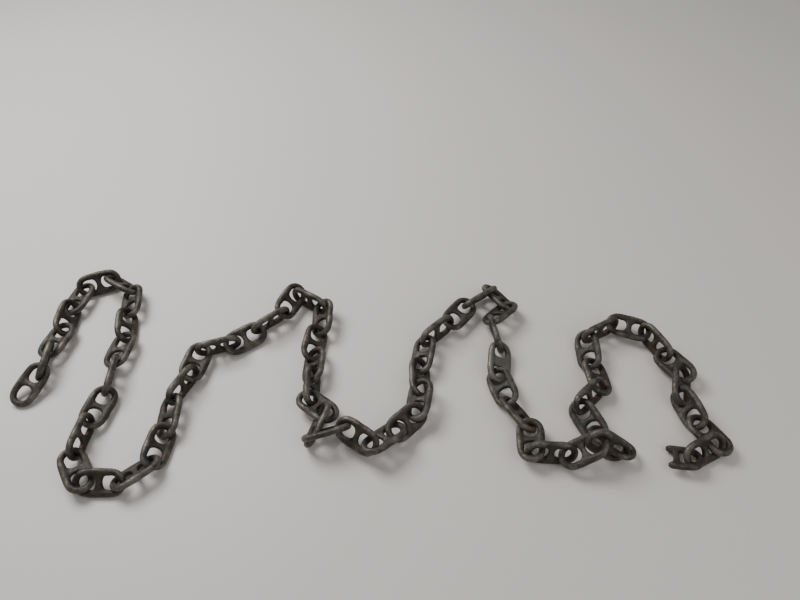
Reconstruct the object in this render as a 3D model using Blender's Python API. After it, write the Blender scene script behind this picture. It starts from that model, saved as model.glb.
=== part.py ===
"""Length of stud-link steel chain laid back and forth on a floor, the last link cut off short.

Metres, +Z up, origin at the middle of the chain's footprint on the floor.
A link is an oval of round bar with a stud across its middle, and link 45 has a broader stud than the rest.
LAY says where each hook-up point lies on the floor and how far each link leans.
"""

import math

import bmesh
import bpy
import numpy as np
from mathutils import Matrix, Vector
from mathutils.bvhtree import BVHTree

BAR = 0.013                # diameter of the round bar
LINK_LENGTH = 0.107        # over the two crowns
LINK_WIDTH = 0.057         # over the two rails
STUD_WAIST = 0.0062        # half the width of a stud along its middle stretch
STUD_FOOT = 0.0135         # half the width of a stud where it runs into a rail
BROAD_WAIST = 0.0125       # the same for the broad stud
BROAD_FOOT = 0.0170
STUD_THICKNESS = 0.0046    # half of it
STUD_STRAIGHT = 0.0085     # from the middle to where the stud starts to flare
PRONG_LONG = 0.0240        # what is left of the cut link's rails beyond the middle of its stud
PRONG_SHORT = 0.0170
CLEARANCE = 0.0003         # gap between one link and the next
WELD_DEPTH = 0.0006        # how far two links that share a node run into each other
SIDES = 8                  # facets round the bar
CROWN_STEPS = 6            # facets along each crown
SHOULDER_WIDTH = 0.7       # the stud's section is an oval of eight corners: four stand high, this far out
WAIST_THICKNESS = 0.45     # and four stand wide, this high, as shares of its half width and thickness
SPINE_REACH = 0.505        # half thickness, in bars, of the straight lines that stand for a link's bar

PITCH = LINK_LENGTH - 2 * BAR                 # from hook-up to hook-up when the chain is pulled tight
CROWN_RADIUS = (LINK_WIDTH - BAR) / 2         # to the middle of the bar
CROWN_CENTRE = (LINK_LENGTH - LINK_WIDTH) / 2
# how far the corners of the faceted bar stand out from its radius, so that it weighs what a round one does
FACET_REACH = math.sqrt(2 * math.pi / (SIDES * math.sin(2 * math.pi / SIDES)))

WHOLE, BROAD, CUT = "whole", "broad", "cut"   # the three shapes of link
BROAD_LINK = 45
SHARED = (11, 18, 27, 36, 46)   # each of these links shares a node with the one after it

# x and y of the point where the link hooks into the next one, height where it was seen (0 where the
# leans settle it), and the lean: 0 flat, 90 on edge, 180 flat the other way up
UNIT = PITCH / 81               # the places are in millimetres for a pitch of 81
START = (-743, -100, 1)
LAY = [
    (-713, -41, 0, 10), (-717, 26, 0, -64), (-705, 80, 0, -2), (-708, 148, 0, 58), (-695, 221, 0, -10),
    (-637, 245, 0, 55), (-581, 211, 0, -45), (-566, 132, 0, 25), (-553, 64, 0, -52), (-560, -8, 0, 10),
    (-557, -86, 0, 65), (-571, -161, 0, -20), (-579, -240, 0, -85), (-534, -308, 0, -14), (-474, -307, 0, 42),
    (-413, -256, 0, -30), (-404, -176, 0, 38), (-404, -109, 0, -28), (-375, -43, 0, 85), (-364, 21, 0, 15),
    (-305, 40, 0, 100), (-249, 79, 0, 30), (-193, 126, 0, 105), (-163, 194, 0, 40), (-104, 158, 0, 90),
    (-104, 85, 0, 32), (-113, 11, 0, -35), (-114, -55, 0, 32), (-111, -119, 0, -66), (-76, -146, 24, -8),
    (-95, -201, 14, 54), (-27, -183, 22, -50), (24, -219, 0, 45), (71, -180, 0, -21), (118, -134, 0, 28),
    (127, -86, 0, -25), (127, -21, 0, 40), (135, 46, 0, -30), (196, 99, 0, 80), (245, 170, 0, 12),
    (316, 219, 22, -62), (362, 160, 0, -36), (298, 94, 0, 30), (315, 20, 0, -76), (306, -46, 0, -25),
    (320, -104, 0, 27), (363, -171, 0, -42), (353, -242, 0, 8), (438, -247, 0, 74), (490, -232, 52, 8),
    (530, -238, 24, 68), (481, -193, 20, 20), (454, -138, 0, -34), (516, -80, 0, 62), (510, -16, 0, 20),
    (508, 60, 0, -36), (583, 100, 0, 90), (650, 72, 0, 16), (683, 7, 20, 82), (709, -45, 24, 16),
    (687, -91, 0, -40), (704, -162, 0, 52), (742, -220, 0, -5), (680, -250, 0, -46), (618, -238, 12, 12),
]
LEAST_OPENING = math.radians(46)   # between the planes of a link and the next
# links hooked by a shoulder and not by the middle of a crown: how far their middle lies from halfway
# between the two hook-up points, in x and y, and how many degrees they are turned
ASIDE = {60: (5, -5, 4), 61: (-8, 3, 9)}
SHORTEST, LONGEST = 0.62, 0.97     # between hook-up points, as shares of the pitch
FLOOR_GIVE = 0.0003                # how far a link may sink below the others to find its seat


def clear_scene():
    """Take away whatever the new file opened with."""
    for item in list(bpy.data.objects):
        bpy.data.objects.remove(item, do_unlink=True)


def kind_of(number):
    """Shape of a link, by its number from the free eye on."""
    if number == len(LAY):
        return CUT
    return BROAD if number == BROAD_LINK else WHOLE


def stud_sizes(kind):
    """Half widths of a stud: along its middle stretch and at its feet."""
    return (BROAD_WAIST, BROAD_FOOT) if kind == BROAD else (STUD_WAIST, STUD_FOOT)


def oval_path(kind):
    """Points along the middle of the bar, and the way out of the oval at each one."""
    foot = stud_sizes(kind)[1]

    def rail(way, places):
        return [((x, way * CROWN_RADIUS, 0), (0, way, 0)) for x in places]

    def crown(way):
        stops = []
        for step in range(CROWN_STEPS + 1):
            turn = math.pi / 2 - math.pi * step / CROWN_STEPS
            out = (way * math.cos(turn), way * math.sin(turn), 0)
            stops.append(((way * CROWN_CENTRE + CROWN_RADIUS * out[0], CROWN_RADIUS * out[1], 0), out))
        return stops

    if kind == CUT:
        # from the end of one prong, round the whole crown, to the end of the other prong
        stops = rail(-1, [PRONG_SHORT, foot, -foot]) + crown(-1) + rail(1, [-foot, foot, PRONG_LONG])
    else:
        stops = rail(1, [-foot, foot]) + crown(1) + rail(-1, [foot, -foot]) + crown(-1)
    return np.array([stop[0] for stop in stops], float), np.array([stop[1] for stop in stops], float)


def link_shape(kind, grow=0.0):
    """Corners and faces of one link lying flat, long way along X: bar loop and stud as one skin."""
    path, outward = oval_path(kind)
    foot = stud_sizes(kind)[1] * 1.001
    radius = (BAR / 2 + grow) * FACET_REACH
    above = np.array((0, 0, 1))
    corners, faces = [], []
    for point, out in zip(path, outward):
        for side in range(SIDES):
            turn = 2 * math.pi * (side + 0.5) / SIDES
            corners.append(point + radius * (math.cos(turn) * out + math.sin(turn) * above))
    rings = len(path)
    feet = {}
    # the three facets that face the inside of the oval open into the stud
    inner = range(SIDES // 2 - 2, SIDES // 2 + 1)
    for ring in range(rings - 1 if kind == CUT else rings):
        after = (ring + 1) % rings
        ends = path[[ring, after]]
        on_foot = (abs(ends[:, 0]) <= foot).all() and ends[0, 1] * ends[1, 1] > 0
        for side in range(SIDES):
            other = (side + 1) % SIDES
            if on_foot and side in inner:
                feet[bool(ends[0, 1] > 0)] = (ring, after)
                continue
            start, stop = ring * SIDES, after * SIDES
            faces.append((start + side, start + other, stop + other, stop + side))
    if kind == CUT:
        faces.append(tuple(range(SIDES - 1, -1, -1)))
        faces.append(tuple((rings - 1) * SIDES + side for side in range(SIDES)))
    add_stud(corners, faces, feet, kind, grow)
    return np.array(corners), faces


def add_stud(corners, faces, feet, kind, grow):
    """Bridge the two openings in the rails with a stud that flares towards its feet."""
    waist = stud_sizes(kind)[0] + grow
    thickness = STUD_THICKNESS + grow
    first = SIDES // 2 - 2
    openings = {}
    for upper, (ring, after) in feet.items():
        near = [ring * SIDES + first + k for k in range(4)]
        openings[upper] = near + [after * SIDES + first + k for k in (3, 2, 1, 0)]
    high, low = openings[True], openings[False]
    # the same corner of the other rail is the one with the mirrored place across the oval
    match = []
    for corner in high:
        here = corners[corner]
        match.append(min(low, key=lambda k: abs(corners[k][0] - here[0]) + abs(corners[k][2] - here[2])))
    loops = [high]
    for place in (STUD_STRAIGHT, -STUD_STRAIGHT):
        loops.append(range(len(corners), len(corners) + len(high)))
        for corner in high:
            here = corners[corner]
            edge = abs(here[2]) > BAR / 3
            across = math.copysign(waist, here[0]) * (SHOULDER_WIDTH if edge else 1)
            tall = math.copysign(thickness, here[2]) * (1 if edge else WAIST_THICKNESS)
            corners.append(np.array((across, place, tall)))
    loops.append(match)
    for loop, onward in zip(loops, loops[1:]):
        for k in range(len(high)):
            n = (k + 1) % len(high)
            faces.append((loop[n], loop[k], onward[k], onward[n]))


def spine(kind):
    """The link as straight lines with a thickness each, for measuring how near two links are."""
    path, _ = oval_path(kind)
    closed = path if kind == CUT else np.vstack([path, path[:1]])
    bar = np.hstack([closed[:-1], closed[1:]])
    waist, foot = (half - STUD_THICKNESS for half in stud_sizes(kind))
    stud = [(x, -STUD_STRAIGHT, 0, x, STUD_STRAIGHT, 0) for x in (-waist, 0, waist)]
    for way in (-1, 1):
        for side in (-1, 1):
            stud.append((side * waist, way * STUD_STRAIGHT, 0, side * foot, way * CROWN_RADIUS, 0))
    # the cut link has fewer lines, so its stud is repeated until every list is as long
    short = len(oval_path(WHOLE)[0]) - len(bar)
    lines = np.vstack([bar, stud, [stud[0]] * short]) if short else np.vstack([bar, stud])
    thick = np.full(len(lines), STUD_THICKNESS)
    thick[:len(bar)] = SPINE_REACH * BAR
    return lines, thick


def turned(heading, lean):
    """Axes of a link: along, across and out of its plane, as columns."""
    along = heading / np.linalg.norm(heading)
    left = np.cross((0, 0, 1), along)
    left /= np.linalg.norm(left)
    above = np.cross(along, left)
    across = math.cos(lean) * left + math.sin(lean) * above
    return np.column_stack([along, across, np.cross(along, across)])


def hook_points():
    """Hook-up points in metres, spaced so that each pair suits one link, and the leans."""
    leans = [math.radians(entry[3]) for entry in LAY]
    rest = [BAR / 2 + CROWN_RADIUS * abs(math.sin(lean)) for lean in leans]
    seen = [START] + [entry[:3] for entry in LAY]
    points = np.array(seen, float) * UNIT
    for k, (_, _, height) in enumerate(seen):
        near = [rest[n] for n in (k - 1, k) if 0 <= n < len(rest)]
        points[k, 2] = height * UNIT if height else max(near) - 0.25 * BAR
    first = points.copy()
    for _ in range(200):
        for k in range(len(points) - 1):
            gap = points[k + 1] - points[k]
            size = np.linalg.norm(gap)
            wanted = min(max(size, SHORTEST * PITCH), LONGEST * PITCH)
            step = gap * (wanted / size - 1) / 2
            step[2] *= 0.2
            points[k] -= step
            points[k + 1] += step
        points += 0.03 * (first - points)
    return points, spread_leans(points, leans)


def headings_of(points):
    """Way each link points: from its own hook-up point to the next, turned where it hooks by a shoulder."""
    ways = points[1:] - points[:-1]
    for number, (_, _, turn) in ASIDE.items():
        way = ways[number - 1]
        cos, sin = math.cos(math.radians(turn)), math.sin(math.radians(turn))
        ways[number - 1] = (cos * way[0] - sin * way[1], sin * way[0] + cos * way[1], way[2])
    return ways


def spread_leans(points, leans):
    """Turn neighbouring links a little where their planes come too near to one another to fit."""
    leans = list(leans)
    headings = headings_of(points)

    def opening(k, lean, after):
        here = turned(headings[k], lean)[:, 2]
        there = turned(headings[k + 1], after)[:, 2]
        return math.acos(min(1.0, abs(float(here @ there))))

    for _ in range(80):
        for k in range(len(leans) - 1):
            short = LEAST_OPENING - opening(k, leans[k], leans[k + 1])
            if short > 0:
                step = short / 4
                trials = [(leans[k] + a * step, leans[k + 1] + b * step) for a in (-1, 1) for b in (-1, 1)]
                leans[k], leans[k + 1] = max(trials, key=lambda pair: opening(k, *pair))
    return leans


def nearest(lines_a, lines_b):
    """Closest points of every line in a with every line in b, for stacks of links."""
    p, d = lines_a[..., :, None, :3], lines_a[..., :, None, 3:] - lines_a[..., :, None, :3]
    q, e = lines_b[..., None, :, :3], lines_b[..., None, :, 3:] - lines_b[..., None, :, :3]
    r = p - q
    a, b, c = (d * d).sum(-1), (d * e).sum(-1), (d * r).sum(-1)
    g, f = (e * e).sum(-1), (e * r).sum(-1)
    s = np.clip((b * f - c * g) / np.maximum(a * g - b * b, 1e-16), 0, 1)
    t = np.clip((b * s + f) / np.maximum(g, 1e-16), 0, 1)
    s = np.clip((b * t - c) / np.maximum(a, 1e-16), 0, 1)
    return p + s[..., None] * d, q + t[..., None] * e


def placed(lines, turn, move):
    """Lines of a link's own frame, turned and moved. More than one move gives a stack."""
    lines = np.hstack([lines[:, :3] @ turn.T, lines[:, 3:] @ turn.T])
    return lines + np.concatenate([move, move], -1)[..., None, :]


def folded_offset(before, after, wanted):
    """From one link's middle to the next one's where the chain folds back, as near as fits to the wanted."""
    lines, thick = spine(WHOLE)
    path, _ = oval_path(WHOLE)
    reach = np.arange(-6, 7) * PITCH / 15
    trials = np.array([(x, y, z) for x in reach for y in reach for z in reach])
    trials = trials[np.linalg.norm(trials, axis=1) < 0.4 * PITCH]
    trials = trials + 0.42 * PITCH * (before[:, 0] + after[:, 0])
    near_a, near_b = nearest(placed(lines, before, np.zeros(3)), placed(lines, after, trials))
    room = np.linalg.norm(near_b - near_a, axis=-1) - thick[:, None] - thick[None]
    room = room.reshape(len(trials), -1).min(1)
    # the next link's bar has to pass once, and only once, through the front half of this link's opening
    ring = (path @ after.T + trials[:, None]) @ before
    onward = np.roll(ring, -1, 1)
    part = ring[..., 2] / (ring[..., 2] - onward[..., 2] + 1e-12)
    spot = ring + part[..., None] * (onward - ring)
    through = (ring[..., 2] * onward[..., 2] < 0) & (spot[..., 0] > 0)
    through &= np.hypot(np.maximum(spot[..., 0] - CROWN_CENTRE, 0), spot[..., 1]) < CROWN_RADIUS
    room[through.sum(1) != 1] = -1
    price = np.linalg.norm(trials - wanted, axis=1) + 40 * np.maximum(CLEARANCE - room, 0)
    return trials[price.argmin()]


def settle(points, leans):
    """Even out the links' places so that each bears on the next and none sinks into another."""
    count = len(leans)
    turns = np.array([turned(way, lean) for way, lean in zip(headings_of(points), leans)])
    wanted = (points[:-1] + points[1:]) / 2
    for number, (right, away, _) in ASIDE.items():
        wanted[number - 1, :2] += (right * UNIT, away * UNIT)
    shapes = [spine(kind_of(k + 1)) for k in range(count)]
    local = np.array([shape[0] for shape in shapes])
    thick = np.array([shape[1] for shape in shapes])
    ends = np.concatenate([np.einsum("nij,nkj->nki", turns, local[..., :3]),
                           np.einsum("nij,nkj->nki", turns, local[..., 3:])], -1)
    low = np.array([np.minimum(e[:, 2], e[:, 5]).min() for e in ends]) - BAR / 2
    for k in range(count - 1):
        if turns[k][:, 0] @ turns[k + 1][:, 0] < 0.1:
            gap = wanted[k + 1] - wanted[k]
            miss = folded_offset(turns[k], turns[k + 1], gap) - gap
            wanted[k + 1:] += np.outer(0.5 * 0.7 ** np.arange(count - k - 1), miss)
            wanted[k::-1] -= np.outer(0.5 * 0.7 ** np.arange(k + 1), miss)
    centre = wanted.copy()
    centre[:, 2] = np.maximum(centre[:, 2], -low)
    apart = np.linalg.norm(wanted[:, None] - wanted[None], axis=-1)
    first, second = np.nonzero(np.triu(apart < LINK_LENGTH * 1.15, 1))
    joined = second - first == 1
    laps = 700
    for lap in range(laps):
        left = 1 - lap / laps
        lines_a = ends[first] + np.tile(centre[first], 2)[:, None]
        lines_b = ends[second] + np.tile(centre[second], 2)[:, None]
        near_a, near_b = nearest(lines_a, lines_b)
        gap = np.linalg.norm(near_b - near_a, axis=-1)
        room = (gap - thick[first][:, :, None] - thick[second][:, None, :]).reshape(len(first), -1)
        best = room.argmin(1)
        rows = np.arange(len(first))
        room = room[rows, best]
        gap = gap.reshape(len(first), -1)[rows, best]
        side = (near_b - near_a).reshape(len(first), -1, 3)[rows, best] / np.maximum(gap, 1e-9)[:, None]
        push = np.where(joined, CLEARANCE - room, np.maximum(3 * CLEARANCE - room, 0))
        push = np.clip(push, -0.015 * BAR, 0.1 * BAR)
        move = np.zeros_like(centre)
        np.add.at(move, first, -0.5 * push[:, None] * side)
        np.add.at(move, second, 0.5 * push[:, None] * side)
        centre += move
        if left > 0.35:
            pull = 0.05 * left * (wanted - centre)[:, :2]
            centre[:, :2] += np.clip(pull, -0.03 * BAR, 0.03 * BAR)
            centre[:, 2] -= 0.04 * BAR * left
        centre[:, 2] = np.maximum(centre[:, 2], -low)
    return centre, turns


def tree(shape, place, turn):
    """A link's faces where they lie, for finding what they cut."""
    corners, faces = shape
    return BVHTree.FromPolygons((corners @ turn.T + place).tolist(), faces)


def seat(centre, turns):
    """Bring every link to exactly the clearance from the one before it, by the shortest move."""
    count = len(centre)
    trees, bad = [], []
    low = [-(link_shape(kind_of(k + 1))[0] @ turns[k].T)[:, 2].min() for k in range(count)]
    stride = 0.03 * BAR
    for k in range(count):
        kind = kind_of(k + 1)
        touching = link_shape(kind, -WELD_DEPTH if k in SHARED else CLEARANCE)
        clear = link_shape(kind, CLEARANCE)
        others = [n for n in range(k - 1) if np.linalg.norm(centre[n] - centre[k]) < LINK_LENGTH * 1.2]

        def hits(move):
            place = centre[k] + move
            if tree(touching, place, turns[k]).overlap(trees[k - 1]):
                return True
            if not others:
                return False
            body = tree(clear, place, turns[k])
            return any(body.overlap(trees[n]) for n in others)

        if k:
            start = hits(0 * centre[k])
            found = None
            for n in range(1, 25):
                for way in seat_ways(centre, turns, k):
                    sinks = centre[k, 2] + stride * n * way[2] < low[k] - FLOOR_GIVE
                    if not sinks and hits(stride * n * way) != start:
                        found = (stride * n, way)
                        break
                if found:
                    break
            if found:
                step, way = found
                near, far = (step - stride) * way, step * way
                for _ in range(7):
                    middle = (near + far) / 2
                    if hits(middle) == start:
                        near = middle
                    else:
                        far = middle
                # the links that follow come along, less and less
                fade = 0.9 ** np.arange(count - k)
                centre[k:] += np.outer(fade, far if start else near)
                centre[k + 1:, 2] = np.maximum(centre[k + 1:, 2], low[k + 1:])
            else:
                bad.append((k + 1, "in" if start else "out"))
        trees.append(tree(link_shape(kind), centre[k], turns[k]))
    if bad:
        print("not seated", bad)
    return centre


def seat_ways(centre, turns, k):
    """Directions to try: straight away from or towards the link before first, then all round."""
    side = contact_side(centre, turns, k)
    ways = [side, -side]
    parts = (-1, -0.5, 0, 0.5, 1)
    for a in parts:
        for b in parts:
            for c in parts:
                if a or b or c:
                    way = turns[k - 1] @ np.array((a, b, c), float)
                    ways.append(way / np.linalg.norm(way))
    return ways


def contact_side(centre, turns, k):
    """Way from the link before to this one where the two come nearest."""
    lines_a, thick_a = spine(kind_of(k))
    lines_b, thick_b = spine(kind_of(k + 1))
    here = placed(lines_a, turns[k - 1], centre[k - 1])
    near_a, near_b = nearest(here, placed(lines_b, turns[k], centre[k]))
    gap = np.linalg.norm(near_b - near_a, axis=-1)
    row, col = np.unravel_index((gap - thick_a[:, None] - thick_b[None]).argmin(), gap.shape)
    return (near_b - near_a)[row, col] / gap[row, col]


def steel(number):
    """Worn brown steel; the tone shifts a little from link to link, and the broad link is greyer."""
    shift = 0.012 * math.sin(number * 2.4)
    tone = (0.075 + shift, 0.056 + shift, 0.040 + shift / 2)
    if number == BROAD_LINK:
        tone = (0.16, 0.15, 0.135)
    paint = bpy.data.materials.new(f"steel_{number:02d}")
    paint.use_nodes = True
    shader = paint.node_tree.nodes["Principled BSDF"]
    shader.inputs["Base Color"].default_value = (*tone, 1)
    shader.inputs["Roughness"].default_value = 0.55
    shader.inputs["Metallic"].default_value = 0.6
    return paint


def link_mesh(kind):
    """The link as a mesh, lying flat with its long way along X."""
    corners, faces = link_shape(kind)
    mesh = bpy.data.meshes.new(f"{kind}_link")
    mesh.from_pydata(corners.tolist(), [], faces)
    work = bmesh.new()
    work.from_mesh(mesh)
    bmesh.ops.recalc_face_normals(work, faces=work.faces)
    bmesh.ops.triangulate(work, faces=work.faces)
    work.to_mesh(mesh)
    work.free()
    mesh.shade_smooth()
    mesh.set_sharp_from_angle(angle=math.radians(50))
    mesh.materials.append(None)
    return mesh


def place_link(name, number, mesh, place, turn):
    """One link as an object, standing where it lies in the chain."""
    item = bpy.data.objects.new(name, mesh)
    bpy.context.scene.collection.objects.link(item)
    item.matrix_world = Matrix.LocRotScale(Vector(place), Matrix(turn.tolist()).to_quaternion(), None)
    item.material_slots[0].link = "OBJECT"
    item.material_slots[0].material = steel(number)
    return item


def share_node(item, other):
    """Run the next link into this one, so that the pair is one body."""
    union = item.modifiers.new("pair", "BOOLEAN")
    union.operation = "UNION"
    union.solver = "EXACT"
    union.object = other
    other.hide_render = True
    other.display_type = "WIRE"


def build():
    """Lay the chain and put its footprint's middle at the origin."""
    clear_scene()
    points, leans = hook_points()
    centre, turns = settle(points, leans)
    centre = seat(centre, turns)
    count = len(centre)
    every = np.vstack([link_shape(kind_of(k + 1))[0] @ turns[k].T + centre[k] for k in range(count)])
    low, high = every.min(0), every.max(0)
    shift = np.array([(low[0] + high[0]) / 2, (low[1] + high[1]) / 2, low[2]])
    meshes = {kind: link_mesh(kind) for kind in (WHOLE, BROAD, CUT)}
    items = []
    for k in range(count):
        kind = kind_of(k + 1)
        name = "cut_link" if kind == CUT else f"link_{k + 1:02d}"
        items.append(place_link(name, k + 1, meshes[kind], centre[k] - shift, turns[k]))
    for number in SHARED:
        share_node(items[number - 1], items[number])
        items[number - 1].name = f"links_{number:02d}_{number + 1:02d}"


build()
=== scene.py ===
"""Dresses a length of old stud-link chain, laid back and forth on a pale floor.

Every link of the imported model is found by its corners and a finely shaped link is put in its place:
a forged bar with a flared stud, dented, pitted and rubbed in its own way. Metres, +Z up.
"""

import logging
import math
from collections.abc import Mapping, Sequence
from dataclasses import dataclass, field, replace
from enum import Enum
from typing import Any

import bmesh
import bpy
import numpy as np
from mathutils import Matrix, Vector, noise
from mathutils.kdtree import KDTree


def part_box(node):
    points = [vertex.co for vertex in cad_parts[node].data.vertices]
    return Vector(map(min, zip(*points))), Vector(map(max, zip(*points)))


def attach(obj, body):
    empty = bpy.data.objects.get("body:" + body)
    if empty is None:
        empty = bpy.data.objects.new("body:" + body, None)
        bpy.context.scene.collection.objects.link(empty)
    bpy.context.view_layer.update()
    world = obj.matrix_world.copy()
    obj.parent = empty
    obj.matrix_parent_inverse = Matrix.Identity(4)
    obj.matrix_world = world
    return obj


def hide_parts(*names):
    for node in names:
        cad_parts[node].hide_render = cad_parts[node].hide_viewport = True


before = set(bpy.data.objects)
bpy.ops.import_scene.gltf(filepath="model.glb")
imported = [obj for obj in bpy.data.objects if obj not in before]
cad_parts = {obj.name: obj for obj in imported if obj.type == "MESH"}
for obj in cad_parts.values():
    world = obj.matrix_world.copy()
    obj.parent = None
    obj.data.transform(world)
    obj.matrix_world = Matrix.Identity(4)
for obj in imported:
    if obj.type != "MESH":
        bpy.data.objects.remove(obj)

LOG = logging.getLogger("chain")

Colour = tuple[float, float, float]
Points = np.ndarray
Faces = list[tuple[int, ...]]


class Wire:
    """An output socket of a material's nodes, on which sums can be written."""

    def __init__(self, graph: "Graph", socket: bpy.types.NodeSocket) -> None:
        """Keeps the socket and the graph that it belongs to."""
        self.graph = graph
        self.socket = socket

    def _sum(self, operation: str, first: "Wire | float", second: "Wire | float") -> "Wire":
        """One Math node."""
        return self.graph.add("ShaderNodeMath", {"operation": operation}, {0: first, 1: second})

    def __add__(self, other: "Wire | float") -> "Wire":
        """This value plus another."""
        return self._sum("ADD", self, other)

    def __radd__(self, other: float) -> "Wire":
        """A number plus this value."""
        return self._sum("ADD", other, self)

    def __sub__(self, other: "Wire | float") -> "Wire":
        """This value less another."""
        return self._sum("SUBTRACT", self, other)

    def __rsub__(self, other: float) -> "Wire":
        """A number less this value."""
        return self._sum("SUBTRACT", other, self)

    def __mul__(self, other: "Wire | float") -> "Wire":
        """This value times another."""
        return self._sum("MULTIPLY", self, other)

    def __rmul__(self, other: float) -> "Wire":
        """A number times this value."""
        return self._sum("MULTIPLY", other, self)

    def between(self, low: float, high: float) -> "Wire":
        """A mask that goes from 0 to 1 as this value goes from low to high.

        Args:
            low: where the mask starts.
            high: where it is full.

        Returns:
            The mask, held within 0 and 1.
        """
        settings = {"interpolation_type": "SMOOTHSTEP", "clamp": True}
        sockets = {"Value": self, "From Min": low, "From Max": high}
        return self.graph.add("ShaderNodeMapRange", settings, sockets)


@dataclass(frozen=True)
class Clouds:
    """A cloudy pattern: clouds to a metre, how many finer layers, and how strong those are."""

    scale: float
    detail: float
    roughness: float


class Graph:
    """A material and its nodes."""

    def __init__(self, name: str) -> None:
        """Starts a material that has no nodes.

        Args:
            name: what to call the material.
        """
        self.material = bpy.data.materials.new(name)
        self.material.use_nodes = True
        self.tree = self.material.node_tree
        self.tree.nodes.clear()

    def node(
        self,
        kind: str,
        settings: Mapping[str, Any] | None = None,
        sockets: Mapping[str | int, Any] | None = None,
    ) -> bpy.types.Node:
        """Makes a node.

        Args:
            kind: Blender's name of the node's type.
            settings: what is set on the node before its sockets.
            sockets: a value or a wire for each input socket, by name or number.

        Returns:
            The node.
        """
        made = self.tree.nodes.new(kind)
        for name, value in (settings or {}).items():
            setattr(made, name, value)
        for name, value in (sockets or {}).items():
            if isinstance(value, Wire):
                self.tree.links.new(value.socket, made.inputs[name])
            else:
                made.inputs[name].default_value = value
        return made

    def add(
        self,
        kind: str,
        settings: Mapping[str, Any] | None = None,
        sockets: Mapping[str | int, Any] | None = None,
        output: str | int = 0,
    ) -> Wire:
        """Makes a node for one of its outputs.

        Args:
            kind: Blender's name of the node's type.
            settings: what is set on the node before its sockets.
            sockets: a value or a wire for each input socket, by name or number.
            output: the name or number of the output that is wanted.

        Returns:
            That output.
        """
        return Wire(self, self.node(kind, settings, sockets).outputs[output])

    def surface(self, sockets: Mapping[str, Any]) -> bpy.types.Material:
        """Ends the nodes in one shader.

        Args:
            sockets: a value or a wire for each of the shader's own sockets.

        Returns:
            The finished material.
        """
        shader = self.add("ShaderNodeBsdfPrincipled", None, sockets)
        self.node("ShaderNodeOutputMaterial", None, {"Surface": shader})
        return self.material

    def mix(self, mask: Wire | float, below: Wire | Colour, above: Wire | Colour) -> Wire:
        """Lays one colour over another.

        Args:
            mask: 0 shows what is below, 1 what is above.
            below: the lower colour.
            above: the upper colour.

        Returns:
            The mixed colour.
        """
        pair = [value if isinstance(value, Wire) else (*value, 1) for value in (below, above)]
        return self.add("ShaderNodeMix", {"data_type": "RGBA"}, {0: mask, 6: pair[0], 7: pair[1]}, 2)

    def noise(self, place: Wire, clouds: Clouds) -> Wire:
        """A cloudy pattern.

        Args:
            place: where it is read.
            clouds: how large and how fine it is.

        Returns:
            The pattern, near 0.5 on average.
        """
        sockets = {"Scale": clouds.scale, "Detail": clouds.detail, "Roughness": clouds.roughness}
        return self.add("ShaderNodeTexNoise", None, {"Vector": place, **sockets})


class Mark(Enum):
    """What is written on a link's points for its finish to read."""

    RUBBED = "rubbed"
    # red rust in the hollows, together with painted shade in the corners beside the studs
    HOLLOW_AND_SHADE = "hollow_and_shade"
    PLACE = "place"


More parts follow.
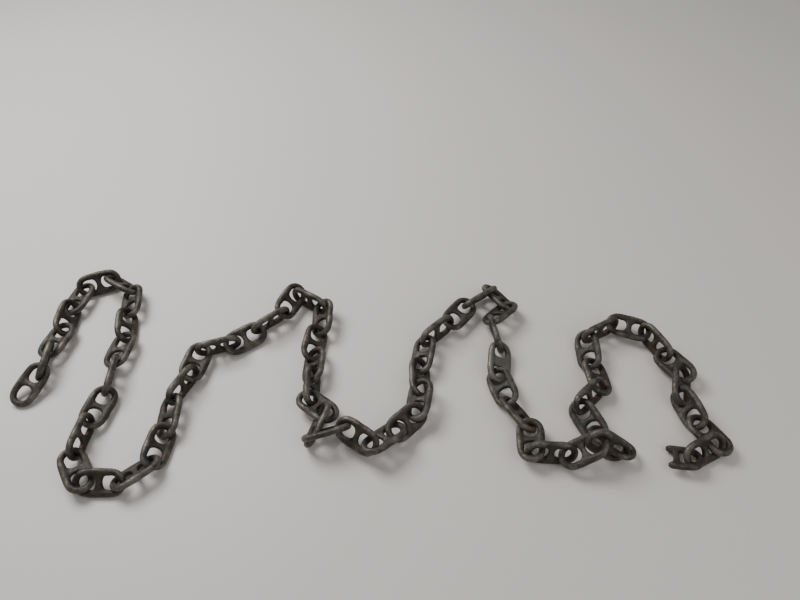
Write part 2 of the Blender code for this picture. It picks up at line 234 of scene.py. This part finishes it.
@dataclass(frozen=True)
class SteelFinish:
    """Old steel: dark scale, rubbed to grey on what stands out, red rust in the hollows, and kept from
    rubbing bare where painted shade lies beside the studs.
    """

    name: str
    dark: Colour = (0.010, 0.0085, 0.0065)
    brown: Colour = (0.038, 0.025, 0.016)
    olive: Colour = (0.034, 0.031, 0.021)
    rust: Colour = (0.135, 0.044, 0.020)
    bare: Colour = (0.205, 0.188, 0.158)
    # how much of the steel is rusty, how much is bare, and how deep and dark the pits are
    rust_share: float = 0.35
    bare_share: float = 0.58
    pitting: float = 0.5
    blotches: Clouds = Clouds(55, 5, 0.65)
    tints: Clouds = Clouds(130, 4, 0.6)
    grains: Clouds = Clouds(420, 5, 0.65)
    flecks: Clouds = Clouds(1100, 3, 0.6)
    pits_to_a_metre: float = 330.0
    # how fully each layer covers what is under it
    olive_cover: float = 0.7
    bare_cover: float = 0.85
    pit_cover: float = 0.6
    fleck_cover: float = 0.4
    relief: float = 0.0009
    relief_strength: float = 0.8

    def material(self) -> bpy.types.Material:
        """The finish as a material.

        Returns:
            A material that reads the marks on a link's points.
        """
        graph = Graph(self.name)
        place = self._place(graph)
        blotch = graph.noise(place, self.blotches)
        grain = graph.noise(place, self.grains)
        fleck = graph.noise(place, self.flecks)
        rubbed = self._mark(graph, Mark.RUBBED)
        hollow_and_shade = self._mark(graph, Mark.HOLLOW_AND_SHADE)
        pits = self._pits(graph, place)
        rust_from, rust_full = 0.88 - 0.3 * self.rust_share, 1.08
        # rust gathers in the hollows; the same mark, with its painted shade beside the studs, also holds back
        # the bare grey
        rust = (hollow_and_shade * 0.45 + grain * 0.55 + blotch * 0.40).between(rust_from, rust_full)
        bare_from, bare_full = 1.00 - 0.5 * self.bare_share, 1.28
        bare = (rubbed * 0.8 + grain * 0.55 - hollow_and_shade * 0.4).between(bare_from, bare_full)
        colour = self._scale(graph, place, blotch)
        colour = graph.mix(rust * (0.3 + 0.5 * self.rust_share), colour, self.rust)
        colour = graph.mix(bare * self.bare_cover, colour, self.bare)
        colour = graph.mix(pits * self.pitting * self.pit_cover, colour, self.dark)
        colour = graph.mix(fleck.between(0.56, 0.76) * self.fleck_cover, colour, self.dark)
        height = grain * 0.5 + fleck * 0.25 - pits * self.pitting
        sockets = {"Strength": self.relief_strength, "Distance": self.relief, "Height": height}
        return graph.surface({
            "Base Color": colour,
            "Roughness": 0.44 + grain * 0.20 + rust * 0.22 - bare * 0.14,
            "Metallic": 0.20 + bare * 0.60 - rust * 0.20,
            "Normal": graph.add("ShaderNodeBump", None, sockets),
        })

    def _scale(self, graph: Graph, place: Wire, blotch: Wire) -> Wire:
        """The scale under all wear: nearly black, with brown blotches and an olive tint in patches.

        Args:
            graph: the material's nodes.
            place: where the patterns are read.
            blotch: the pattern of the brown blotches.

        Returns:
            Its colour.
        """
        colour = graph.mix(blotch.between(0.38, 0.60), self.dark, self.brown)
        tint = graph.noise(place, self.tints).between(0.42, 0.62)
        return graph.mix(tint * self.olive_cover, colour, self.olive)

    def _pits(self, graph: Graph, place: Wire) -> Wire:
        """Small round pits, 1 at the bottom of each."""
        sockets = {"Vector": place, "Scale": self.pits_to_a_metre}
        return 1 - graph.add("ShaderNodeTexVoronoi", None, sockets).between(0.1, 0.42)

    @staticmethod
    def _place(graph: Graph) -> Wire:
        """Where a point lies in its own link, shifted so that no two links have the same pattern."""
        return graph.add("ShaderNodeAttribute", {"attribute_name": Mark.PLACE.value}, None, "Vector")

    @staticmethod
    def _mark(graph: Graph, mark: Mark) -> Wire:
        """A value from a link's points."""
        return graph.add("ShaderNodeAttribute", {"attribute_name": mark.value}, None, "Fac")


class LinkKind(Enum):
    """The three shapes of link."""

    WHOLE = "whole"
    BROAD = "broad"
    CUT = "cut"


@dataclass(frozen=True)
class Station:
    """A place along the middle of the bar, and the way out of the oval there.

    The rail swells where a stud's foot is on it, and a bar can be thinned to a share of its size.
    """

    x: float
    y: float
    out_x: float
    out_y: float
    on_foot: bool
    thinned: float = 1.0


@dataclass
class LinkForm:
    """Sizes of one link, and the smooth skin that they give. Long way along X, flat in Z."""

    bar: float = 0.0140
    length: float = 0.107
    width: float = 0.057
    # half widths of the studs at waist and feet, and how much a rail swells where a foot joins it
    stud_waist: float = 0.0062
    stud_foot: float = 0.0180
    broad_waist: float = 0.0125
    broad_foot: float = 0.0200
    cut_foot: float = 0.0095
    foot_swell: float = 1.12
    stud_thickness: float = 0.0046
    # how much thicker a stud is along its middle, and how much it narrows towards its top and bottom
    stud_ridge: float = 1.2
    stud_narrowing: float = 0.45
    # rings of a stud: how far out towards a rail, and how far its half width has gone from waist to foot
    stud_rings: tuple[tuple[float, float], ...] = ((0.66, 0.55), (0.44, 0.18), (0.20, 0.0))
    # from the middle of the stud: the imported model's longer prong, then both prongs as they are here
    prong_reach: float = 0.0240
    upper_prong: float = 0.0175
    lower_prong: float = 0.0165
    # a prong thins to this share of the bar over its last stretch, and its end keeps a fairly sharp rim
    prong_tip: float = 0.55
    prong_taper: float = 0.0060
    rim_crease: float = 0.85
    # the cage: sides of the bar, how many of them a stud grows out of, steps round a crown
    sides: int = 12
    stud_sides: int = 4
    crown_steps: int = 9
    smoothing: int = 2

    @property
    def crown_radius(self) -> float:
        """From a crown's middle to the middle of the bar."""
        return (self.width - self.bar) / 2

    @property
    def crown_centre(self) -> float:
        """From the link's middle to a crown's."""
        return (self.length - self.width) / 2

    @property
    def first_stud_side(self) -> int:
        """The first of the bar's sides that a stud grows out of, all of them inside the oval."""
        return (self.sides - self.stud_sides) // 2

    def stud(self, kind: LinkKind) -> tuple[float, float]:
        """Half widths of a stud.

        Args:
            kind: the shape of link.

        Returns:
            The half width at its waist, and at its feet.
        """
        waist = self.broad_waist if kind is LinkKind.BROAD else self.stud_waist
        feet = {LinkKind.WHOLE: self.stud_foot, LinkKind.BROAD: self.broad_foot, LinkKind.CUT: self.cut_foot}
        return waist, feet[kind]

    def skin(self, kind: LinkKind) -> bpy.types.Mesh:
        """The link's smooth skin.

        Args:
            kind: the shape of link. The cut one has no front crown, and its rails end as prongs.

        Returns:
            A mesh of small even faces.
        """
        corners, faces, rims = self._cage(kind)
        mesh = bpy.data.meshes.new("link_cage")
        mesh.from_pydata([tuple(corner) for corner in corners], [], faces)
        work = bmesh.new()
        work.from_mesh(mesh)
        crease = work.edges.layers.float.new("crease_edge")
        for edge in work.edges:
            on_rim = all(vert.index in rims for vert in edge.verts)
            if on_rim and any(len(face.verts) > 4 for face in edge.link_faces):
                edge[crease] = self.rim_crease
        bmesh.ops.recalc_face_normals(work, faces=work.faces)
        work.to_mesh(mesh)
        work.free()
        item = bpy.data.objects.new("link_cage", mesh)
        bpy.context.scene.collection.objects.link(item)
        rounding = item.modifiers.new("rounding", "SUBSURF")
        rounding.levels = rounding.render_levels = self.smoothing
        shown = item.evaluated_get(bpy.context.evaluated_depsgraph_get())
        skin = bpy.data.meshes.new_from_object(shown)
        bpy.data.objects.remove(item)
        bpy.data.meshes.remove(mesh)
        return skin

    def _cage(self, kind: LinkKind) -> tuple[list[Points], Faces, set[int]]:
        """The coarse link that rounding turns into the skin.

        Args:
            kind: the shape of link.

        Returns:
            Its corners, its faces, and which corners are on the rim of a cut end.
        """
        stations = self._stations(kind)
        corners = [corner for station in stations for corner in self._ring(station)]
        faces = self._walls(kind, stations)
        rims: set[int] = set()
        if kind is LinkKind.CUT:
            for ring in (0, len(stations) - 1):
                rim = [ring * self.sides + side for side in range(self.sides)]
                faces.append(tuple(rim))
                rims.update(rim)
        self._add_stud(kind, stations, corners, faces)
        return corners, faces, rims

    def _stations(self, kind: LinkKind) -> list[Station]:
        """Where the cage's rings stand, once round the oval.

        Args:
            kind: the shape of link.

        Returns:
            The stations in order. Those of the cut link run from prong to prong.
        """
        foot = self.stud(kind)[1]
        rail = [-foot, 0.0, foot]
        back_rail = rail[::-1]
        if kind is LinkKind.CUT:
            first = self._prong(-1, foot, self.upper_prong)[::-1] + self._side(-1, foot, back_rail)
            last = self._side(1, foot, rail) + self._prong(1, foot, self.lower_prong)
            return first + self._crown(-1) + last
        first = self._side(1, foot, rail) + self._crown(1)
        return first + self._side(-1, foot, back_rail) + self._crown(-1)

    def _crown(self, way: int) -> list[Station]:
        """Stations round a crown.

        Args:
            way: 1 for the front crown, -1 for the back one.

        Returns:
            The stations, clockwise seen from above.
        """
        stations = []
        for step in range(self.crown_steps + 1):
            turn = math.pi * (0.5 - step / self.crown_steps)
            out_x, out_y = way * math.cos(turn), way * math.sin(turn)
            middle = (way * self.crown_centre + self.crown_radius * out_x, self.crown_radius * out_y)
            stations.append(Station(*middle, out_x, out_y, False))
        return stations

    def _side(self, way: int, foot: float, places: Sequence[float]) -> list[Station]:
        """Stations along a rail, at the places given."""
        return [Station(x, way * self.crown_radius, 0.0, float(way), abs(x) <= foot) for x in places]

    def _prong(self, way: int, foot: float, end: float) -> list[Station]:
        """The last two stations of a cut rail, which thins towards its end."""
        root, tip = self._side(way, foot, [end - self.prong_taper, end])
        return [root, replace(tip, thinned=self.prong_tip)]

    def _ring(self, station: Station) -> list[Points]:
        """The cage's corners round the bar at one station.

        Args:
            station: where they stand.

        Returns:
            As many corners as the bar has sides.
        """
        # rounding draws a ring in, so it starts wider than the bar
        radius = self.bar / 2 * (6 / (4 + 2 * math.cos(2 * math.pi / self.sides)))
        widened = self.foot_swell if station.on_foot else station.thinned
        corners = []
        for side in range(self.sides):
            turn = 2 * math.pi * side / self.sides
            reach = radius * math.cos(turn) * widened
            rise = radius * math.sin(turn) * station.thinned
            x, y = station.x + reach * station.out_x, station.y + reach * station.out_y
            corners.append(np.array((x, y, rise)))
        return corners

    def _walls(self, kind: LinkKind, stations: Sequence[Station]) -> Faces:
        """The cage's faces from ring to ring, left open where the stud grows out.

        Args:
            kind: the shape of link.
            stations: where the rings stand.

        Returns:
            The faces.
        """
        faces: Faces = []
        rings = len(stations)
        for ring in range(rings - 1 if kind is LinkKind.CUT else rings):
            after = (ring + 1) % rings
            here, there = stations[ring], stations[after]
            foot = here.on_foot and there.on_foot and here.y * there.y > 0
            for side in range(self.sides):
                if foot and self.first_stud_side <= side < self.first_stud_side + self.stud_sides:
                    continue
                other = (side + 1) % self.sides
                faces.append((ring * self.sides + side, ring * self.sides + other,
                              after * self.sides + other, after * self.sides + side))
        return faces

    def _opening(self, way: int, stations: Sequence[Station], corners: Sequence[Points]) -> list[int]:
        """The corners round the opening that a rail has for the stud.

        Args:
            way: 1 for the upper rail, -1 for the lower one.
            stations: where the cage's rings stand.
            corners: the cage's corners so far.

        Returns:
            The corners, from the top of the back ring down, and up the front ring.
        """
        feet = [k for k, station in enumerate(stations) if station.on_foot and station.y * way > 0]
        feet.sort(key=lambda k: stations[k].x)
        back, middle, front = (k * self.sides + self.first_stud_side for k in feet)
        last = self.stud_sides
        if corners[back][2] < 0:
            return [*range(back + last, back - 1, -1), middle, *range(front, front + last + 1), middle + last]
        return [*range(back, back + last + 1), middle + last, *range(front + last, front - 1, -1), middle]

    def _add_stud(
        self, kind: LinkKind, stations: Sequence[Station], corners: list[Points], faces: Faces
    ) -> None:
        """Bridges the openings in the two rails with a stud that is narrow in the middle.

        Args:
            kind: the shape of link.
            stations: where the cage's rings stand.
            corners: the cage's corners, to which the stud's are added.
            faces: the cage's faces, to which the stud's are added.
        """
        waist, foot = self.stud(kind)
        upper, lower = self._opening(1, stations, corners), self._opening(-1, stations, corners)
        outline = [(corners[k][0] / foot, corners[k][2]) for k in upper]
        tallest = max(z for _, z in outline)
        below = [(-level, spread) for level, spread in reversed(self.stud_rings)]
        loops = [upper]
        for level, spread in [*self.stud_rings, *below]:
            half = (1 - spread) * waist + spread * foot
            loop = []
            for across, tall in outline:
                lift = tall / tallest
                pinch = math.sqrt(1 - self.stud_narrowing * lift * lift)
                ridge = self.stud_ridge if across == 0 else 1.0
                loop.append(len(corners))
                place = (across * half * pinch, level * self.crown_radius, lift * self.stud_thickness * ridge)
                corners.append(np.array(place))
            loops.append(loop)
        loops.append(lower)
        for loop, following in zip(loops, loops[1:]):
            for k in range(len(loop)):
                n = (k + 1) % len(loop)
                faces.append((loop[k], loop[n], following[n], following[k]))


@dataclass
class Ageing:
    """Dents, scale and pits of one link, and the marks that its finish reads, one of which also carries
    painted shade beside the studs.
    """

    dent_depth: float = 0.00085
    dent_size: float = 0.020
    scale_depth: float = 0.00034
    scale_size: float = 0.0060
    pit_depth: float = 0.00042
    pit_size: float = 0.0040
    # pits are where their noise passes this, and the factor brings what is left of it back to about 1
    pit_from: float = 0.28
    pit_factor: float = 2.2
    # scale's share in the patches of wear, and how far the painted shade in the corner beside a stud's foot
    # reaches along the bar
    scale_in_patches: float = 0.6
    stud_shade_reach: float = 0.008

    def age(
        self, points: Points, normals: Points, shift: Vector, form: LinkForm
    ) -> tuple[Points, Points, Points]:
        """Wears a link's skin.

        Args:
            points: the skin's points in the link's own frame.
            normals: the skin's ways out.
            shift: moves the pattern, so that no two links are alike.
            form: the link's sizes.

        Returns:
            The worn points, how rubbed each is, and how deep in the hollows each is, with painted shade
            beside the studs added in.
        """
        depth = np.empty(len(points))
        patch = np.empty(len(points))
        for k, point in enumerate(points):
            here = Vector(point) + shift
            dent = noise.noise(here / self.dent_size)
            scale = noise.noise(here / self.scale_size)
            pit = max(0.0, noise.noise(here / self.pit_size + shift) - self.pit_from)
            pitted = pit * self.pit_factor * self.pit_depth
            depth[k] = dent * self.dent_depth + scale * self.scale_depth - pitted
            patch[k] = dent + self.scale_in_patches * scale
        worn = points + normals * depth[:, None]
        # facing is 1 on the outside of the oval and -1 on its inside; what stands out is rubbed most
        side = np.sign(points[:, 0]) * np.maximum(np.abs(points[:, 0]) - form.crown_centre, 0)
        away = np.column_stack([side, points[:, 1]])
        reach = np.linalg.norm(away, axis=1)
        facing = (normals[:, :2] * away).sum(1) / np.maximum(reach, 1e-6)
        rubbed = np.clip(0.35 + 0.45 * facing + 0.25 * np.abs(normals[:, 2]) + 0.35 * patch, 0, 1)
        inside = np.clip(-facing, 0, 1)
        # painted shade in the corner where a stud's foot meets the inside of a rail, added to the inside of
        # the oval where rust gathers
        stud_shade = np.exp(-((np.abs(points[:, 0]) - form.stud_foot) / self.stud_shade_reach) ** 2)
        hollow_and_shade = np.clip(0.75 * inside + 0.35 * stud_shade * inside - 0.3 * patch, 0, 1)
        return worn, rubbed, hollow_and_shade


@dataclass
class Pose:
    """Where a link lies: its middle, and its axes as columns."""

    centre: Points
    axes: Points

    def place(self, points: Points) -> Points:
        """Points of the link's own frame, where they lie in the chain."""
        return points @ self.axes.T + self.centre


@dataclass(frozen=True)
class Fitting:
    """How a pattern is fitted to corners."""

    rounds: int = 40
    # the nearest share of the pattern is used, and whatever else is this near
    share: float = 0.8
    near: float = 1e-5
    # it ends when the pattern is this close on average
    enough: float = 2e-6


class Corners:
    """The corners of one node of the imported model."""

    def __init__(self, node: str, fitting: Fitting = Fitting()) -> None:
        """Reads a node's corners, each once, for quick finding.

        Args:
            node: the node's name.
            fitting: how patterns are fitted to the corners.
        """
        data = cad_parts[node].data
        found = np.empty(len(data.vertices) * 3)
        data.vertices.foreach_get("co", found)
        self.node = node
        self.fitting = fitting
        self.points = np.unique(found.reshape(-1, 3).round(6), axis=0)
        self.tree = KDTree(len(self.points))
        for k, corner in enumerate(self.points):
            self.tree.insert(corner, k)
        self.tree.balance()

    def spread(self) -> Pose:
        """Middle and axes of the corners.

        Returns:
            A pose with the widest way first and the thinnest last.
        """
        _, _, ways = np.linalg.svd(self.points - self.points.mean(0), full_matrices=False)
        if np.linalg.det(ways) < 0:
            ways[2] *= -1
        local = self.points @ ways.T
        return Pose(((local.min(0) + local.max(0)) / 2) @ ways, ways.T)

    def fit(self, pattern: Points, pose: Pose) -> tuple[float, Pose]:
        """Moves a pose until the pattern lies on these corners.

        Args:
            pattern: the corners to look for, in the link's own frame.
            pose: where to start.

        Returns:
            How far off the pattern stays on average, and the pose.
        """
        off = math.inf
        for _ in range(self.fitting.rounds):
            found = [self.tree.find(Vector(point)) for point in pose.place(pattern)]
            partner = self.points[[hit[1] for hit in found]]
            gaps = np.array([hit[2] for hit in found])
            keep = gaps <= max(np.quantile(gaps, self.fitting.share), self.fitting.near)
            here, there = pattern[keep], partner[keep]
            left, _, right = np.linalg.svd((here - here.mean(0)).T @ (there - there.mean(0)))
            turn = right.T @ np.diag((1, 1, np.sign(np.linalg.det(right.T @ left.T)))) @ left.T
            pose = Pose(there.mean(0) - turn @ here.mean(0), turn)
            off = float(gaps[keep].mean())
            if off < self.fitting.enough:
                break
        return off, pose

    def best(self, pattern: Points, starts: Sequence[Pose]) -> Pose:
        """The best fit of a pattern from several starts.

        Args:
            pattern: the corners to look for, in the link's own frame.
            starts: where to start from.

        Returns:
            The pose that leaves the pattern least far off.
        """
        off, pose = min((self.fit(pattern, start) for start in starts), key=lambda pair: pair[0])
        LOG.info("found a link in %s, off by %.4f mm", self.node, off * 1000)
        return pose


class LinkFinder:
    """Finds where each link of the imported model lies, from its corners alone."""

    # how many leans and turns to start from, and how far the middle of a whole link lies forward of
    # the cut link's own middle, as a share of the length
    LEANS = 12
    TURNS = 16
    CUT_FORWARD = 0.15

    def __init__(self, form: LinkForm, sample: str) -> None:
        """Takes the corners of one whole link as the pattern for all.

        Args:
            form: the link's sizes.
            sample: a node that is one whole link.
        """
        self.form = form
        corners = Corners(sample)
        pose = corners.spread()
        self.pattern = (corners.points - pose.centre) @ pose.axes

    def single(self, node: str) -> Pose:
        """The link of a node of its own."""
        return Corners(node).spread()

    def pair(self, node: str, before: Points) -> list[Pose]:
        """The two links of a shared node.

        Args:
            node: the node that they share.
            before: the middle of the link before them.

        Returns:
            Both poses, the one nearer to the link before first.
        """
        corners = Corners(node)
        whole = corners.spread()
        along = whole.axes[:, 0]
        if (whole.centre - before) @ along < 0:
            along = -along
        reach = (self.form.length - 2 * self.form.bar) / 2
        level = np.cross(along, (0.0, 0.0, 1.0))
        level /= np.linalg.norm(level)
        above = np.cross(along, level)
        poses = []
        for way in (-1, 1):
            starts = []
            for lean in np.arange(self.LEANS) * math.pi / self.LEANS:
                across = math.cos(lean) * level + math.sin(lean) * above
                axes = np.column_stack([along, across, np.cross(along, across)])
                starts.append(Pose(whole.centre + way * reach * along, axes))
            poses.append(corners.best(self.pattern, starts))
        return poses

    def cut(self, node: str) -> Pose:
        """The cut link, which has only its back half in common with the others.

        Args:
            node: its node.

        Returns:
            Its pose, the right way up.
        """
        corners = Corners(node)
        whole = corners.spread()
        normal = whole.axes[:, 2]
        starts = []
        for turn in np.arange(self.TURNS) * 2 * math.pi / self.TURNS:
            along = math.cos(turn) * whole.axes[:, 0] + math.sin(turn) * whole.axes[:, 1]
            middle = whole.centre + along * self.CUT_FORWARD * self.form.length
            starts.append(Pose(middle, np.column_stack([along, np.cross(normal, along), normal])))
        pose = corners.best(self.pattern[self.pattern[:, 0] < 0], starts)
        # one prong is longer, and the pose is turned over where that one is on the wrong side
        reach, radius = self.form.prong_reach, self.form.crown_radius
        tips = pose.place(np.array([(reach, radius, 0.0), (reach, -radius, 0.0)]))
        off = [corners.tree.find(Vector(tip))[2] for tip in tips]
        return pose if off[0] < off[1] else Pose(pose.centre, pose.axes @ np.diag((1.0, -1.0, -1.0)))


@dataclass
class Chain:
    """The whole chain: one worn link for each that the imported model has."""

    form: LinkForm = field(default_factory=LinkForm)
    ageing: Ageing = field(default_factory=Ageing)
    brown: SteelFinish = SteelFinish("brown_scale")
    pitted: SteelFinish = SteelFinish("pitted_scale", rust_share=0.8, pitting=0.9)
    grey: SteelFinish = SteelFinish(
        "rubbed_grey", (0.030, 0.027, 0.023), (0.080, 0.071, 0.060), (0.095, 0.089, 0.076),
        rust_share=0.15, bare_share=0.9,
    )
    broad_link: int = 45
    pitted_from: int = 48

    def build(self) -> None:
        """Makes, dresses and places every link, in the order of the chain."""
        finder = LinkFinder(self.form, "link_01")
        skins = {kind: self.form.skin(kind) for kind in LinkKind}
        brown, pitted, grey = (finish.material() for finish in (self.brown, self.pitted, self.grey))
        number = 0
        before = np.array(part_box("link_01")[0])
        for node in sorted(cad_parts, key=self._order):
            for pose in self._poses(finder, node, before):
                number += 1
                kind = self._kind(node, number)
                item = self._link(number, kind, skins[kind], pose)
                finish = grey if kind is LinkKind.BROAD else pitted if number >= self.pitted_from else brown
                item.data.materials.clear()
                item.data.materials.append(finish)
                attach(item, "root")
                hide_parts(node)
                before = pose.centre
                LOG.info("%s: %d faces, %s", item.name, len(item.data.polygons), finish.name)

    @staticmethod
    def _order(node: str) -> float:
        """A node's place in the chain, by the first link's number in its name."""
        return math.inf if node == "cut_link" else int(node.split("_")[1])

    @staticmethod
    def _poses(finder: LinkFinder, node: str, before: Points) -> list[Pose]:
        """Where a node's links lie.

        Args:
            finder: knows what a whole link looks like.
            node: the node.
            before: the middle of the link before it.

        Returns:
            One pose, or two for a shared node.
        """
        if node == "cut_link":
            return [finder.cut(node)]
        if node.startswith("links_"):
            return finder.pair(node, before)
        return [finder.single(node)]

    def _kind(self, node: str, number: int) -> LinkKind:
        """The shape of a link.

        Args:
            node: the node that it stands for.
            number: its number in the chain.

        Returns:
            Its kind.
        """
        if node == "cut_link":
            return LinkKind.CUT
        return LinkKind.BROAD if number == self.broad_link else LinkKind.WHOLE

    @staticmethod
    def _shift(number: int) -> Vector:
        """How far a link's patterns are moved, in steps uneven enough that no two links are alike."""
        return Vector((0.37 * number, 0.11 * number * number % 3.1, 0.53 * number % 2.7))

    def _link(self, number: int, kind: LinkKind, skin: bpy.types.Mesh, pose: Pose) -> bpy.types.Object:
        """One worn link in its place.

        Args:
            number: its number in the chain, which also sets its wear.
            kind: its shape.
            skin: the smooth skin of its kind.
            pose: where it lies.

        Returns:
            The link.
        """
        mesh = skin.copy()
        points = np.empty((len(mesh.vertices), 3))
        normals = np.empty_like(points)
        mesh.vertices.foreach_get("co", points.ravel())
        mesh.vertices.foreach_get("normal", normals.ravel())
        shift = self._shift(number)
        worn, rubbed, hollow_and_shade = self.ageing.age(points, normals, shift, self.form)
        mesh.vertices.foreach_set("co", pose.place(worn).ravel())
        for mark, values in ((Mark.RUBBED, rubbed), (Mark.HOLLOW_AND_SHADE, hollow_and_shade)):
            layer = mesh.attributes.new(mark.value, "FLOAT", "POINT")
            layer.data.foreach_set("value", values.astype(np.float32))
        layer = mesh.attributes.new(Mark.PLACE.value, "FLOAT_VECTOR", "POINT")
        layer.data.foreach_set("vector", (points + np.array(shift)).ravel().astype(np.float32))
        mesh.shade_smooth()
        mesh.update()
        mesh.name = "cut_link_skin" if kind is LinkKind.CUT else f"link_{number:02d}_skin"
        item = bpy.data.objects.new(mesh.name, mesh)
        bpy.context.scene.collection.objects.link(item)
        return item


@dataclass(frozen=True)
class Lamp:
    """A soft square lamp that looks at the middle of the chain."""

    name: str
    place: tuple[float, float, float]
    size: float
    power: float

    def hang(self) -> None:
        """Puts the lamp up."""
        lamp = bpy.data.lights.new(self.name, "AREA")
        lamp.size = self.size
        lamp.energy = self.power
        item = bpy.data.objects.new(self.name, lamp)
        item.location = self.place
        item.rotation_euler = (-Vector(self.place)).to_track_quat("-Z", "Y").to_euler()
        bpy.context.scene.collection.objects.link(item)


@dataclass
class Studio:
    """Pale floor, soft light and the camera."""

    lamps: tuple[Lamp, ...] = (
        Lamp("key", (-1.5, 1.3, 2.3), 1.5, 92.0),
        Lamp("fill", (1.8, -1.4, 2.2), 2.6, 24.0),
    )
    # the camera stands over this point and looks up from straight down by the tilt, in degrees
    camera_foot: tuple[float, float] = (0.0839, -0.8444)
    camera_height: float = 1.2163
    camera_tilt: float = 41.4
    lens: float = 29.25
    floor_size: float = 30.0
    floor_drop: float = 0.0005
    floor_colour: Colour = (0.62, 0.58, 0.54)
    floor_roughness: float = 0.55
    sky_colour: Colour = (0.95, 0.97, 1.0)
    sky: float = 0.36

    def build(self) -> None:
        """Puts everything up."""
        self._floor()
        for lamp in self.lamps:
            lamp.hang()
        self._sky()
        self._camera()

    def _floor(self) -> None:
        """A plain pale floor just under the chain."""
        bpy.ops.mesh.primitive_plane_add(size=self.floor_size, location=(0, 0, -self.floor_drop))
        floor = bpy.context.object
        floor.name = "floor"
        sockets = {"Base Color": (*self.floor_colour, 1), "Roughness": self.floor_roughness}
        floor.data.materials.append(Graph("floor_paint").surface(sockets))

    def _sky(self) -> None:
        """Pale light from all round."""
        world = bpy.context.scene.world or bpy.data.worlds.new("studio")
        bpy.context.scene.world = world
        world.use_nodes = True
        background = world.node_tree.nodes["Background"]
        background.inputs["Color"].default_value = (*self.sky_colour, 1)
        background.inputs["Strength"].default_value = self.sky

    def _camera(self) -> None:
        """The photograph's view."""
        data = bpy.data.cameras.new("view")
        data.lens = self.lens
        item = bpy.data.objects.new("view", data)
        item.location = (*self.camera_foot, self.camera_height)
        item.rotation_euler = (math.radians(self.camera_tilt), 0, 0)
        bpy.context.scene.collection.objects.link(item)
        bpy.context.scene.camera = item


def main() -> None:
    """Builds the chain and the studio."""
    logging.basicConfig(level=logging.INFO, format="%(message)s")
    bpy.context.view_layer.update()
    Chain().build()
    Studio().build()


if __name__ == "__main__":
    main()
